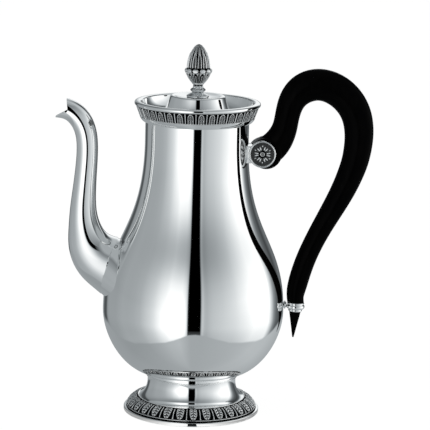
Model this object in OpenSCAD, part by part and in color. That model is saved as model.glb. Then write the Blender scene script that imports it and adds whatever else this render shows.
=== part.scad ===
// Coffee pot with an S-shaped spout, a lift-off lid and a dark wooden handle.
// The origin is the middle of the foot where it meets the table. +Z is up,
// the handle points to +X and the spout to -X. All sizes are in millimetres.

/* [Body] */
// Thickness of the sheet metal of the body, foot and lid
wall = 1.2; // [0.8:0.1:1.6]
// Radius of the belly at its widest
belly_r = 63.4; // [60:0.2:67]
// Height of the widest part of the belly
belly_z = 73; // [70:0.5:76]
// Radius of the underside of the belly, where the foot is soldered on
belly_base_r = 31.3; // [29:0.1:33]
// Outside radius of the neck
neck_r = 36; // [34.5:0.1:37]
// Height at which the sides of the neck become upright
neck_z = 193; // [188:0.5:197]
// Height of the top of the neck, where the collar begins
neck_top_z = 205.8; // [202:0.1:210]

/* [Collar and rim] */
// Height of the moulding between the neck and the collar band
neck_mould_h = 3.8; // [3:0.1:4.6]
// Height of the ornamental collar band
rim_frieze_h = 7.5; // [6.5:0.1:9]
// How far the collar band stands out from the neck at its foot
rim_frieze_low_out = 4; // [3.5:0.1:4.6]
// How far the collar band stands out from the neck at its top
rim_frieze_top_out = 6.8; // [6:0.1:7.2]
// Thickness of the collar band
rim_frieze_t = 1.6; // [1.2:0.1:2]
// Thickness of the round wire at the rim
rim_wire_t = 3.2; // [2.6:0.1:3.6]
// How far the rim wire stands out from the neck
rim_out = 7.75; // [7.4:0.05:8.5]
// How far the edge of the mouth stands out from the neck
mouth_out = 2.85; // [2.2:0.05:3.4]

/* [Foot] */
// Height of the foot, from the table to the belly
foot_h = 28.5; // [27:0.5:31]
// Height of the straight collar at the top of the foot
foot_collar_h = 2.6; // [2.2:0.1:4]
// Radius of the thin line around the foot
foot_line_r = 32.3; // [31.8:0.1:33]
// Radius of the foot where the hollow sweep ends
foot_sweep_r = 33.9; // [33.4:0.1:34.8]
// Height at which the hollow sweep ends
foot_sweep_z = 14.2; // [13.6:0.1:15]
// Radius of the sloping ornamental band at its top
foot_frieze_top_r = 37.2; // [36.8:0.1:38]
// Height of the sloping band at its top
foot_frieze_top_z = 11.3; // [10.6:0.1:11.6]
// Radius of the sloping band at its bottom
foot_frieze_low_r = 46; // [45:0.1:46.4]
// Height of the sloping band at its bottom
foot_frieze_low_z = 3.2; // [3:0.1:3.6]
// How far the sloping band swells between its edges
foot_frieze_swell = 1.8; // [0.8:0.1:2.2]
// Thickness of the sloping band
foot_frieze_t = 1.5; // [1.2:0.1:1.8]
// Radius of the ring that the pot stands on
base_r = 47.6; // [47.2:0.1:48.5]

/* [Spout] */
// Height of the middle of the spout's root on the belly
spout_root_z = 103; // [98:0.5:106]
// Radius of the spout at its root
spout_root_r = 20; // [18:0.5:21]
// Distance from the belly's widest line out to the upright part of the spout
spout_reach = 13; // [11:0.5:16]
// Radius of the upright part of the spout
spout_r = 7.6; // [6.5:0.1:8.5]
// Height of the middle of the spout's mouth above its root
spout_rise = 110.5; // [104:0.5:116]
// Thickness of the spout's wall
spout_wall = 1.1; // [0.8:0.1:1.4]
// Width of the spout's root across the pot, as a share of its height
spout_root_oval = 0.86; // [0.7:0.02:1]
// Radius of the hole through the belly into the spout
spout_hole_r = 11; // [8:0.5:13]

/* [Handle] */
// Height of the pin through the scroll of the handle
pin_z = 184.6; // [180:0.2:188]
// Radius of the scroll at the top end of the handle
scroll_r = 10.9; // [10.4:0.1:12]
// Gap between the neck and the scroll
scroll_gap = 1.2; // [0.6:0.1:2]
// Thickness of the scroll between the rosettes
scroll_t = 15.4; // [13:0.2:18]
// How far the handle rises above the middle of its scroll
handle_rise = 48.8; // [45:0.2:53]
// How far the handle reaches out beyond the line of its two ends
handle_reach = 46; // [40:0.5:50]
// Half the depth of the handle at its top
handle_r = 11.1; // [10:0.1:11.5]
// Half the depth of the handle at its slender lower part
handle_low_r = 7; // [6.4:0.1:7.4]
// Half the width of the handle across, at its top
handle_side = 9; // [8:0.1:10]
// Half the width of the handle across, at its slender lower part
handle_low_side = 6.2; // [5.8:0.1:7]
// Height of the middle of the ring that holds the handle's lower end
ferrule_z = 76.2; // [72:0.2:80]
// Gap between the belly and that ring
ferrule_gap = 1.9; // [1.6:0.1:3]
// Outside radius of that ring
ferrule_r = 6.5; // [6.2:0.1:7]
// Height of that ring
ferrule_h = 6.6; // [6:0.1:8]
// Radius of the handle where it passes through the ring
tenon_r = 4.1; // [3.4:0.1:4.3]
// Length of the pointed tip below the ring
tip_l = 19; // [16:0.5:22]
// Lean of the ring and the tip, in degrees
tip_lean = 2.7; // [0:0.1:4]
// Radius of the turned button between the belly and the ring
link_r = 3; // [2.4:0.1:3.4]
// Thickness of the tongue that the scroll is pinned to
tongue_t = 4; // [3:0.2:5]
// Height of that tongue
tongue_h = 12; // [9:0.5:13]
// Radius of the pin through the scroll
pin_r = 1.6; // [1.2:0.1:2]
// Radius of the rosettes at the ends of the pin
rosette_r = 9.5; // [8.5:0.1:10.2]
// Thickness of a rosette
rosette_t = 2.2; // [1.8:0.1:2.8]
// Petals on a rosette
rosette_petals = 6; // [5:1:8]

/* [Lid] */
// Width of the ledge that the lid rests on
lid_ledge = 2; // [1.6:0.1:2.4]
// Depth of the sleeve that steadies the lid in the neck
sleeve_h = 12; // [8:0.5:16]
// Thickness of the sleeve
sleeve_t = 1; // [0.8:0.1:1.4]
// Radius of the flat top of the lid
lid_top_r = 19.1; // [18:0.1:20.5]
// Height of the lid from its ledge to its top
lid_h = 14.8; // [13:0.1:16]
// Fall of the lid's top from its middle to its edge
lid_crown = 1.2; // [0.8:0.1:1.8]

/* [Finial] */
// Radius of the round foot of the finial
finial_foot_r = 7.85; // [7:0.05:9]
// Height of the round foot of the finial
finial_foot_h = 2.6; // [2.2:0.1:3.2]
// Radius of the knop
knop_r = 5.3; // [4.8:0.1:6]
// Height of the knop
knop_h = 4.9; // [4.4:0.1:5.6]
// Radius of the cup of leaves
cup_r = 9.5; // [9:0.1:10.4]
// Height of the cup of leaves
cup_h = 11.9; // [11:0.1:13]
// Radius of the cone at its foot
cone_r = 8.15; // [7.4:0.05:8.6]
// Height of the cone
cone_h = 17; // [15:0.1:19]
// Radius of the screw that holds the finial
screw_r = 1.5; // [1.2:0.1:1.8]
// Width of the nut across its corners
nut_w = 7; // [6:0.2:8]
// Height of the nut
nut_h = 2.4; // [2:0.1:3]

/* [Fits] */
// Clearance around the lid's flange and sleeve
lid_gap = 0.4; // [0.3:0.05:0.6]
// Clearance around pins, tongue and tenon
pin_gap = 0.05; // [0.03:0.01:0.1]

/* [Hidden] */
$fn = 96;
silver = "gainsboro";
oxide = "dimgray";
ebony = "#151313";
eps = 0.01;          // overshoot of cutting solids
curve_steps = 12;    // straight pieces in each curve of a profile

// ---- curves ----

function lerp(a, b, t) = a + (b - a) * t;
function bezier(a, b, c, d, t) =
    pow(1 - t, 3) * a + 3 * pow(1 - t, 2) * t * b
    + 3 * (1 - t) * t * t * c + pow(t, 3) * d;
function curve(a, b, c, d, n = curve_steps) =
    [for (i = [0 : n]) bezier(a, b, c, d, i / n)];
function arc(centre, r, from, to, n = 10) =
    [for (i = [0 : n]) let (q = lerp(from, to, i / n)) centre + r * [cos(q), sin(q)]];
function reversed(list) = [for (i = [len(list) - 1 : -1 : 0]) list[i]];
// the same profile moved inwards by d, to the left of its direction
function inset(pts, d) = [for (i = [0 : len(pts) - 1])
    let (a = pts[max(i - 1, 0)], b = pts[min(i + 1, len(pts) - 1)], t = (b - a) / norm(b - a))
    pts[i] + d * [-t[1], t[0]]];
// smooth path through stations, each a list of numbers
function spline_at(s, i, t) =
    let (a = s[max(i - 1, 0)], b = s[i], c = s[i + 1], d = s[min(i + 2, len(s) - 1)])
    0.5 * (2 * b + (c - a) * t + (2 * a - 5 * b + 4 * c - d) * t * t
    + (3 * b - a - 3 * c + d) * t * t * t);
function spline(s, n) = [for (i = [0 : len(s) - 2], k = [0 : n - 1]) spline_at(s, i, k / n),
    s[len(s) - 1]];

// ---- profiles of the turned pieces, as [radius, height] ----

// belly and neck, from the underside up to the collar
belly_low = curve([belly_base_r, foot_h], [belly_base_r + 17.2, foot_h],
    [belly_r, belly_z - 20.6], [belly_r, belly_z]);
belly_high = curve([belly_r, belly_z], [belly_r, belly_z + 50.7],
    [neck_r, neck_z - 66.8], [neck_r, neck_z], 2 * curve_steps);
body_side = concat(belly_low, [for (i = [1 : 2 * curve_steps]) belly_high[i]]);
body_inside = inset(body_side, wall);
function body_r(z) = lookup(z, [for (p = body_side) [p[1], p[0]]]);
// the body is made up of a bowl, a shoulder and a neck, which meet at these points of its side
bowl_end = curve_steps;
shoulder_end = 2 * curve_steps;
neck_end = 3 * curve_steps;
function part_of(side, from, to) = [for (i = [from : to]) side[i]];

rim_frieze_z = neck_top_z + neck_mould_h;
rim_wire_z = rim_frieze_z + rim_frieze_h;
rim_z = rim_wire_z + rim_wire_t;
rim_frieze_low_r = neck_r + rim_frieze_low_out;
rim_frieze_top_r = neck_r + rim_frieze_top_out;
rim_r = neck_r + rim_out;
mouth_r = neck_r + mouth_out;
flare_low_r = rim_frieze_low_r - rim_frieze_t;    // outside of the flared lip, under the band
flare_top_r = rim_frieze_top_r - rim_frieze_t;
bore_r = neck_r - wall;
seat_z = rim_frieze_z - 0.6;                      // ledge that carries the lid
seat_r = bore_r + lid_ledge;
rim_core = rim_wire_t / 2;

// foot
foot_line_z = foot_h - foot_collar_h;
base_step_z = 1.6;                                // ledge that the sloping band stands on
base_lip_z = foot_frieze_low_z + 0.4;
slope = [foot_frieze_low_r - foot_frieze_top_r, foot_frieze_low_z - foot_frieze_top_z];
slope_in = [slope[1], -slope[0]] / norm(slope);   // unit vector into the foot
band_top = [foot_frieze_top_r, foot_frieze_top_z];
band_low = [foot_frieze_low_r, foot_frieze_low_z];
band_back = band_top + foot_frieze_t * slope_in;
skin_back = band_back + wall * slope_in;
// radius at height z of the line through point p along the slope
function slope_r(p, z) = p[0] + slope[0] * (z - p[1]) / slope[1];

// lid and finial
lid_bottom_z = seat_z;
lid_top_z = lid_bottom_z + lid_h;
flange_r = seat_r - lid_gap;
flange_t = 1.2;
sleeve_r = bore_r - lid_gap;
finial_pad_r = finial_foot_r + 0.3;
knop_z = lid_top_z + finial_foot_h;
cup_z = knop_z + knop_h;
cone_z = cup_z + cup_h;
stem_r = 3.3;                                     // slimmest part of the finial
nut_z = lid_top_z - wall - nut_h;
screw_in_cone = 4;

// ---- handle and spout paths ----

scroll_x = body_r(pin_z) + scroll_gap + scroll_r;
scroll_z = pin_z + 0.9;
pin_x = scroll_x - 2;
ferrule_x = belly_r + ferrule_gap + ferrule_r;
shoulder_z = ferrule_z + ferrule_h / 2;
link_z = ferrule_z + 1.2;                          // height of the turned button
link_x = belly_r;
link_l = ferrule_x - ferrule_r - link_x;
// depth and width of a section of the handle, as shares of the way from slender to full
function section(k, side_k) = [lerp(handle_low_r, handle_r, k),
    lerp(handle_low_side, handle_side, side_k)];
// a station of the handle: t is 0 at the ring and 1 at the scroll's height, out is the
// reach beyond the line between them as a share of handle_reach
function grip(t, out, k, side_k) = concat(lerp(ferrule_x, scroll_x, t) + out * handle_reach,
    lerp(shoulder_z, scroll_z, t), section(k, side_k));
// a station of the bend over the top: up is a share of handle_rise
function bend(dx, up, k, side_k) = concat(scroll_x + dx * handle_reach,
    scroll_z + up * handle_rise, section(k, side_k));
handle_path = spline([
    grip(-0.01, 0, -0.3, -0.18),
    grip(0.04, 0.012, -0.25, -0.1),
    grip(0.11, 0.072, 0, 0),
    grip(0.28, 0.265, 0, 0.07),
    grip(0.46, 0.54, 0.03, 0.18),
    grip(0.62, 0.82, 0.2, 0.28),
    grip(0.77, 1.075, 0.4, 0.43),
    grip(0.91, 1.27, 0.55, 0.57),
    bend(1.367, 0, 0.63, 0.68),
    bend(1.398, 0.3, 0.75, 0.79),
    bend(1.332, 0.62, 0.87, 0.9),
    bend(1.11, 0.88, 0.99, 1),
    bend(0.8, 1, 0.98, 1),
    bend(0.53, 0.935, 0.94, 0.93),
    bend(0.365, 0.76, 0.58, 0.75),
    bend(0.3, 0.53, 0.37, 0.57),
    bend(0.265, 0.33, 0.44, 0.5),
    bend(0.155, 0.13, 0.78, 0.5),
    [scroll_x, scroll_z, scroll_r * 0.98, scroll_t * 0.48]], 4);

// a station of the spout: out and up are shares of spout_reach and spout_rise
function pour(out, up, r, side) = [-belly_r - out * spout_reach,
    spout_root_z + up * spout_rise, r, side];
root_side = spout_root_r * spout_root_oval;
spout_path = spline([
    pour(-1.15, -0.058, spout_root_r + 1.2, root_side + 1.4),
    pour(-0.42, -0.002, spout_root_r + 0.1, root_side),
    pour(0.23, 0.045, spout_root_r - 1.2, root_side - 1),
    pour(0.69, 0.11, spout_r + 8.6, spout_r + 6.8),
    pour(0.93, 0.174, spout_r + 5.95, spout_r + 4.8),
    pour(1.07, 0.249, spout_r + 3.5, spout_r + 2.9),
    pour(1.14, 0.33, spout_r + 1.95, spout_r + 1.7),
    pour(1.13, 0.415, spout_r + 1.05, spout_r + 0.9),
    pour(1.08, 0.5, spout_r + 0.45, spout_r + 0.4),
    pour(1.025, 0.59, spout_r + 0.05, spout_r),
    pour(0.97, 0.68, spout_r - 0.15, spout_r - 0.2),
    pour(0.96, 0.77, spout_r - 0.2, spout_r - 0.3),
    pour(1.035, 0.845, spout_r - 0.15, spout_r - 0.3),
    pour(1.27, 0.917, spout_r, spout_r - 0.3),
    pour(1.69, 0.973, spout_r - 0.1, spout_r - 0.4),
    pour(2.21, 0.998, spout_r - 0.45, spout_r - 0.7),
    pour(2.85, 1.01, spout_r + 0.4, spout_r - 0.9)], 2);
mouth = [-belly_r - 2.02 * spout_reach, spout_root_z + spout_rise];   // back of the cut mouth
lip = [-belly_r - 2.67 * spout_reach, mouth[1] - 6.1];                // end of the pouring lip
hole_z = spout_root_z + 1;                         // middle of the hole through the belly

// one ring of points around station i of a path that lies in the XZ plane
function ring(path, i, sides, thinner = 0) =
    let (a = path[max(i - 1, 0)], b = path[min(i + 1, len(path) - 1)], s = path[i],
        t = [b[0] - a[0], b[1] - a[1]] / norm([b[0] - a[0], b[1] - a[1]]))
    [for (k = [0 : sides - 1]) let (q = 360 * k / sides, u = (s[2] - thinner) * cos(q))
        [s[0] + u * t[1], (s[3] - thinner) * sin(q), s[1] - u * t[0]]];
function wrap(sides, first, flip = false) = [for (k = [0 : sides - 1])
    let (n = (k + 1) % sides, f = [first + k, first + n, first + sides + n, first + sides + k])
    flip ? f : reversed(f)];

module solid_tube(path, sides) {
    n = len(path);
    last = (n - 1) * sides;
    pts = [for (i = [0 : n - 1]) each ring(path, i, sides)];
    polyhedron(points = pts, faces = concat(
        [for (i = [0 : n - 2]) each wrap(sides, i * sides)],
        [for (k = [1 : sides - 2]) [0, k, k + 1]],
        [for (k = [1 : sides - 2]) [last, last + k + 1, last + k]]), convexity = 6);
}

module hollow_tube(path, sides, t) {
    n = len(path);
    outer = [for (i = [0 : n - 1]) each ring(path, i, sides)];
    inner = [for (i = [0 : n - 1]) each ring(path, i, sides, t)];
    first = n * sides;
    last = (n - 1) * sides;
    polyhedron(points = concat(outer, inner), faces = concat(
        [for (i = [0 : n - 2]) each wrap(sides, i * sides)],
        [for (i = [0 : n - 2]) each wrap(sides, first + i * sides, true)],
        [for (k = [0 : sides - 1]) let (m = (k + 1) % sides) [k, m, first + m, first + k]],
        [for (k = [0 : sides - 1]) let (m = (k + 1) % sides)
            [last + m, last + k, first + last + k, first + last + m]]), convexity = 8);
}

module turned(pts) rotate_extrude() polygon(pts);

// what the body fills outside, used to trim the pieces that are fitted to it
module body_mass() turned(concat([[0, foot_h]], body_side, [[neck_r, rim_z], [0, rim_z]]));

// along the lean of the ring, from its middle
module leaning() translate([ferrule_x, 0, ferrule_z]) rotate([0, tip_lean, 0]) children();

// across the handle, along the pin
module across() translate([pin_x, 0, pin_z]) rotate([90, 0, 0]) children();

// ---- body ----

module body_bowl() color(silver)
    turned(concat([[0, foot_h]], part_of(body_side, 0, bowl_end),
        reversed(part_of(body_inside, 0, bowl_end)), [[0, foot_h + wall]]));

module body_shoulder() color(silver) difference() {
    turned(concat(part_of(body_side, bowl_end, shoulder_end),
        reversed(part_of(body_inside, bowl_end, shoulder_end))));
    translate([-belly_r / 2, 0, hole_z]) rotate([0, -90, 0])
        cylinder(r = spout_hole_r, h = belly_r);
}

module body_neck() color(silver)
    turned(concat(part_of(body_side, shoulder_end, neck_end),
        [[neck_r, neck_top_z], [flare_low_r, rim_frieze_z], [flare_top_r, rim_wire_z],
        [mouth_r + 0.3, rim_wire_z], [seat_r, seat_z], [bore_r, seat_z]],
        reversed(part_of(body_inside, shoulder_end, neck_end))));

module neck_moulding() color(silver)
    turned(concat([[flare_low_r, rim_frieze_z], [neck_r, neck_top_z]],
        curve([neck_r + 0.3, neck_top_z], [neck_r + 1.6, neck_top_z + 0.2],
            [rim_frieze_low_r - 0.7, rim_frieze_z - 2.4], [rim_frieze_low_r, rim_frieze_z], 10)));

module rim_frieze() color(oxide)
    turned([[flare_low_r, rim_frieze_z], [rim_frieze_low_r, rim_frieze_z],
        [rim_frieze_top_r, rim_wire_z], [flare_top_r, rim_wire_z]]);

module rim_wire() color(silver) rotate_extrude() {
    for (r = [mouth_r + rim_core, rim_r - rim_core])
        translate([r, rim_wire_z + rim_core]) circle(r = rim_core);
    translate([mouth_r + rim_core, rim_wire_z])
        square([rim_r - mouth_r - rim_wire_t, rim_wire_t]);
}

// ---- foot ----

module foot_shell() color(silver)
    turned(concat([[belly_base_r - wall, foot_h], [belly_base_r, foot_h],
        [belly_base_r + 0.2, foot_line_z + 0.5], [foot_line_r, foot_line_z]],
        curve([foot_line_r - 0.6, foot_line_z - 0.5], [foot_line_r - 0.7, foot_line_z - 5.5],
            [foot_sweep_r - 1.6, foot_sweep_z + 3], [foot_sweep_r, foot_sweep_z], 14),
        [band_back, [slope_r(band_back, base_step_z), base_step_z],
        [slope_r(skin_back, base_step_z), base_step_z], skin_back],
        [[foot_sweep_r - wall - 0.3, foot_sweep_z + 0.6],
        [foot_line_r - 0.7 - wall, foot_line_z - 2]]));

module foot_moulding() color(silver)
    turned(concat([band_back, [foot_sweep_r, foot_sweep_z]],
        arc([foot_sweep_r + 0.55, foot_sweep_z - 1.7], 1.75, 98, -40),
        [band_top]));

module foot_frieze() color(oxide)
    turned(concat(curve(band_top, band_top - 1.5 * foot_frieze_swell * slope_in,
            band_low + [0, 2 * foot_frieze_swell], band_low),
        [[foot_frieze_low_r, base_step_z], [slope_r(band_back, base_step_z), base_step_z],
        band_back]));

module base_ring() color(silver)
    turned(concat([[slope_r(skin_back, base_step_z) - 1, 0], [base_r - 0.6, 0]],
        arc([base_r - 1.7, 1.9], 1.7, -60, 60),
        [[foot_frieze_low_r + 0.35, base_lip_z], [foot_frieze_low_r, base_lip_z],
        [foot_frieze_low_r, base_step_z],
        [slope_r(skin_back, base_step_z) - 1, base_step_z]]));

// ---- spout ----

module spout() color(silver) difference() {
    hollow_tube(spout_path, 24, spout_wall);
    body_mass();
    rotate([90, 0, 0]) linear_extrude(4 * spout_r, center = true)
        polygon([mouth + [-0.9, 12], mouth + [-0.9, 6], mouth + [-0.1, 0.7], mouth + [0, -1.3],
            mouth + [-0.4, -2.2], lip, lip + [0, -4], lip + [-12, -4], lip + [-12, 20]]);
}

// ---- handle ----

module handle() color(ebony) difference() {
    union() {
        difference() {
            solid_tube(handle_path, 24);
            leaning() translate([0, 0, -1.5 * ferrule_h])
                cylinder(r = 2 * ferrule_r, h = 2 * ferrule_h);
        }
        translate([scroll_x, 0, scroll_z]) rotate([90, 0, 0]) turned(concat(
            [[0, -scroll_t / 2]], arc([scroll_r - 2, 2 - scroll_t / 2], 2, -90, 0, 6),
            arc([scroll_r - 2, scroll_t / 2 - 2], 2, 0, 90, 6), [[0, scroll_t / 2]]));
        leaning() turned([[0, -ferrule_h / 2 - tip_l], [0.6, 0.4 - ferrule_h / 2 - tip_l],
            [tenon_r, -ferrule_h / 2], [tenon_r, ferrule_h / 2 + 2], [0, ferrule_h / 2 + 2]]);
    }
    translate([pin_x - 2 * scroll_r + 5 + pin_gap, -tongue_t / 2 - pin_gap,
        pin_z - tongue_h / 2 - pin_gap])
        cube([2 * scroll_r, tongue_t + 2 * pin_gap, tongue_h + 2 * pin_gap]);
    across() cylinder(r = pin_r + pin_gap, h = 2 * scroll_t, center = true);
}

module handle_bracket() color(silver) difference() {
    translate([neck_r - 4, -tongue_t / 2, pin_z - tongue_h / 2])
        cube([pin_x + 5 - neck_r + 4, tongue_t, tongue_h]);
    body_mass();
    across() cylinder(r = pin_r + pin_gap, h = 2 * scroll_t, center = true);
}

pin_seat = 1.2;    // how far the pin enters each rosette

module handle_pin() color(silver)
    across() cylinder(r = pin_r, h = scroll_t + 2 * pin_seat, center = true);

// a rosette whose back lies in the plane Z = 0
module rosette() difference() {
    union() {
        turned(concat([[0, 0], [rosette_r - 0.5, 0]],
            arc([rosette_r - 0.8, rosette_t - 0.8], 0.8, 0, 90, 6),
            [[rosette_r - 1.4, rosette_t], [rosette_r - 1.6, rosette_t - 0.7],
            [0, rosette_t - 0.7]]));
        for (k = [1 : rosette_petals]) rotate(360 * k / rosette_petals)
            translate([rosette_r * 0.5, 0, 0]) cylinder(r = rosette_r * 0.24, h = rosette_t - 0.2);
        cylinder(r = rosette_r * 0.17, h = rosette_t);
    }
    translate([0, 0, -eps]) cylinder(r = pin_r, h = pin_seat + eps);
}

module rosette_front() color(oxide)
    across() translate([0, 0, scroll_t / 2]) rosette();

module rosette_rear() color(oxide)
    across() rotate([180, 0, 0]) translate([0, 0, scroll_t / 2]) rosette();

module ferrule() color(silver) leaning() {
    half = ferrule_h / 2;
    low_r = ferrule_r - 1.6;
    rotate_extrude() difference() {
        union() {
            translate([0, -half]) square([low_r - 0.7, ferrule_h]);
            translate([low_r - 0.8, 0.8 - half]) circle(r = 0.8);
            translate([low_r - 2, -half]) square([1.2, 1.6]);
            translate([ferrule_r - 1.8, 0.2]) circle(r = 1.8);
            translate([ferrule_r - 1.1, half - 0.7]) circle(r = 0.7);
            translate([0, half - 1.4]) square([ferrule_r - 1.1, 1.4]);
        }
        translate([-eps, -ferrule_h]) square([tenon_r + pin_gap + eps, 2 * ferrule_h]);
    }
}

// a small turned button between the belly and the ring
module ferrule_link() color(silver)
    translate([link_x, 0, link_z]) rotate([0, 90, 0]) turned(concat(
        [[0, 0], [link_r - 0.6, 0], [link_r * 0.6, link_l * 0.25]],
        arc([link_r - link_l * 0.2, link_l / 2], link_l * 0.2, -90, 90, 6),
        [[link_r * 0.6, link_l * 0.75], [link_r - 0.8, link_l], [0, link_l]]));

// ---- lid ----

lid_side = concat([[flange_r, lid_bottom_z + flange_t]],
    curve([flange_r - 2.4, lid_bottom_z + flange_t], [lid_top_r + 5.5, lid_bottom_z + flange_t],
        [lid_top_r + 2.4, lid_top_z - 6], [lid_top_r + 0.2, lid_top_z - lid_crown - 0.7], 14),
    [[lid_top_r - 0.5, lid_top_z - lid_crown], [finial_pad_r, lid_top_z]]);

module lid_shell() color(silver) difference() {
    turned(concat([[sleeve_r - sleeve_t - 1, lid_bottom_z], [flange_r, lid_bottom_z]], lid_side,
        [[0, lid_top_z], [0, lid_top_z - wall], [finial_pad_r, lid_top_z - wall],
        [lid_top_r - 1.6, lid_top_z - lid_crown - wall]],
        curve([lid_top_r - 1.1, lid_top_z - lid_crown - 1.4], [lid_top_r + 1.3, lid_top_z - 6.6],
            [lid_top_r + 4.6, lid_bottom_z], [flange_r - 5, lid_bottom_z], 14)));
    translate([0, 0, lid_bottom_z]) cylinder(r = screw_r + pin_gap, h = 2 * lid_h);
}

module lid_sleeve() color(silver) difference() {
    translate([0, 0, lid_bottom_z - sleeve_h]) cylinder(r = sleeve_r, h = sleeve_h);
    translate([0, 0, lid_bottom_z - sleeve_h - eps])
        cylinder(r = sleeve_r - sleeve_t, h = sleeve_h + 2 * eps);
}

// ---- finial ----

module screwed(z) difference() {
    children();
    translate([0, 0, z - eps]) cylinder(r = screw_r, h = 2 * cup_h, $fn = 48);
}

module finial_foot() color(silver) screwed(lid_top_z)
    turned(concat([[0, lid_top_z], [finial_foot_r - 1, lid_top_z]],
        arc([finial_foot_r - 1, lid_top_z + 1], 1, -90, 60, 8),
        [[stem_r + 0.6, knop_z], [0, knop_z]]));

module finial_knop() color(silver) screwed(knop_z)
    turned([[0, knop_z], [stem_r + 0.4, knop_z], [knop_r - 0.3, knop_z + knop_h * 0.22],
        [knop_r, knop_z + knop_h * 0.39], [knop_r - 1.1, knop_z + knop_h * 0.62],
        [stem_r, knop_z + knop_h], [0, knop_z + knop_h]]);

module finial_cup() color(oxide) screwed(cup_z)
    turned(concat([[0, cup_z], [stem_r, cup_z]],
        curve([stem_r + 0.2, cup_z + 0.8], [cup_r * 0.6, cup_z + cup_h * 0.25],
            [cup_r * 0.8, cup_z + cup_h * 0.55], [cup_r - 0.5, cup_z + cup_h * 0.86], 10),
        arc([cup_r - 0.9, cup_z + cup_h - 0.9], 0.9, 0, 90, 6), [[0, cone_z]]));

module finial_cone() color(oxide) difference() {
    turned(concat([[0, cone_z]], curve([cone_r, cone_z], [cone_r, cone_z + cone_h / 2],
        [cone_r * 0.44, cone_z + cone_h], [0, cone_z + cone_h])));
    translate([0, 0, cone_z - eps]) cylinder(r = screw_r, h = screw_in_cone + eps, $fn = 48);
}

module finial_screw() color(silver)
    translate([0, 0, nut_z - 1]) cylinder(r = screw_r, h = cone_z + screw_in_cone - nut_z + 1, $fn = 48);

module finial_nut() color(silver) translate([0, 0, nut_z]) difference() {
    cylinder(d = nut_w, h = nut_h, $fn = 6);
    translate([0, 0, -eps]) cylinder(r = screw_r, h = nut_h + 2 * eps, $fn = 48);
}

body_bowl();
body_shoulder();
body_neck();
neck_moulding();
rim_frieze();
rim_wire();
foot_shell();
foot_moulding();
foot_frieze();
base_ring();
spout();
handle_bracket();
handle();
handle_pin();
rosette_front();
rosette_rear();
ferrule();
ferrule_link();
lid_shell();
lid_sleeve();
finial_foot();
finial_knop();
finial_cup();
finial_cone();
finial_screw();
finial_nut();
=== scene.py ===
import math

import bmesh
import bpy
import numpy as np
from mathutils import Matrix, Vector

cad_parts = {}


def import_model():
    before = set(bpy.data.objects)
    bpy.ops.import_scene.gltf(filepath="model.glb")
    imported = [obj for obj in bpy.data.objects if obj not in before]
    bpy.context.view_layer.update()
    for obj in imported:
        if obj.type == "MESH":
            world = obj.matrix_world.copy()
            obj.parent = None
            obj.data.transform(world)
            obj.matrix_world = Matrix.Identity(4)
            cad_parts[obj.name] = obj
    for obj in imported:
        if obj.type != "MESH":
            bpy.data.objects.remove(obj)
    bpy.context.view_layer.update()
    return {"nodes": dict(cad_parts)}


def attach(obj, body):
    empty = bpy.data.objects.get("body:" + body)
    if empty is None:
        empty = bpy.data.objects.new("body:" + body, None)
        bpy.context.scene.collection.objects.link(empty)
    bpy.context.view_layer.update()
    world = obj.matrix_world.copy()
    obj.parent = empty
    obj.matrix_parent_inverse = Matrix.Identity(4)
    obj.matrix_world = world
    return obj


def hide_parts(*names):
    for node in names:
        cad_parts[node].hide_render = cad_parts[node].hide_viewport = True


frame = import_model()

# Sizes are in millimetres, as on the maker's drawing, and the meshes are in metres.
MM = 0.001

# ---- body, collar and rim ----
WALL = 1.2
BELLY_R, BELLY_Z, BELLY_BASE_R = 63.4, 73.0, 31.3
NECK_R, NECK_Z, NECK_TOP_Z = 36.0, 193.0, 205.8
COLLAR_Z, RIM_WIRE_Z, RIM_Z = 209.6, 217.1, 220.3
COLLAR_LOW_R, COLLAR_TOP_R, COLLAR_T = 40.0, 42.8, 1.6
RIM_R, MOUTH_R = 43.75, 38.85
BORE_R = NECK_R - WALL
SEAT_Z, SEAT_R = 209.0, 36.8

# ---- foot ----
FOOT_H, FOOT_LINE_Z, FOOT_LINE_R = 28.5, 25.9, 32.3
FOOT_SWEEP_Z = 14.2
LEAF_TOP = np.array([37.9, 10.2])
LEAF_LOW = np.array([46.0, 3.2])
LEAF_T, LEAF_SWELL = 1.5, 1.8
BASE_R, BASE_STEP_Z, BASE_LIP_Z, BASE_EDGE = 47.6, 1.6, 3.6, 0.5

# ---- spout and handle ----
SPOUT_ROOT_Z, SPOUT_REACH, SPOUT_RISE = 103.0, 13.0, 110.5
SPOUT_ROOT_R, SPOUT_R, SPOUT_WALL = 20.0, 7.6, 1.1
SPOUT_HOLE_R = 11.0
PIN_Z, SCROLL_R, SCROLL_T = 184.6, 10.9, 15.4
SCROLL_X = 48.33
SCROLL_Z = PIN_Z + 0.9
PIN_X = SCROLL_X - 2
ROSETTE_X, ROSETTE_Z = PIN_X - 0.7, PIN_Z + 0.8
HANDLE_RISE, HANDLE_REACH = 48.8, 46.0
HANDLE_R, HANDLE_LOW_R, HANDLE_SIDE, HANDLE_LOW_SIDE = 11.1, 7.0, 9.0, 6.2
FERRULE_X, FERRULE_Z, FERRULE_R, FERRULE_H = 71.8, 76.2, 6.5, 6.6
TENON_R, TIP_L, TIP_LEAN = 4.1, 19.0, 2.7
LINK_R, LINK_Z = 3.0, 77.4
TONGUE_T, TONGUE_H = 4.0, 12.0
ROSETTE_R, ROSETTE_T, ROSETTE_DEPTH = 9.5, 2.2, 1.1

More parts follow.
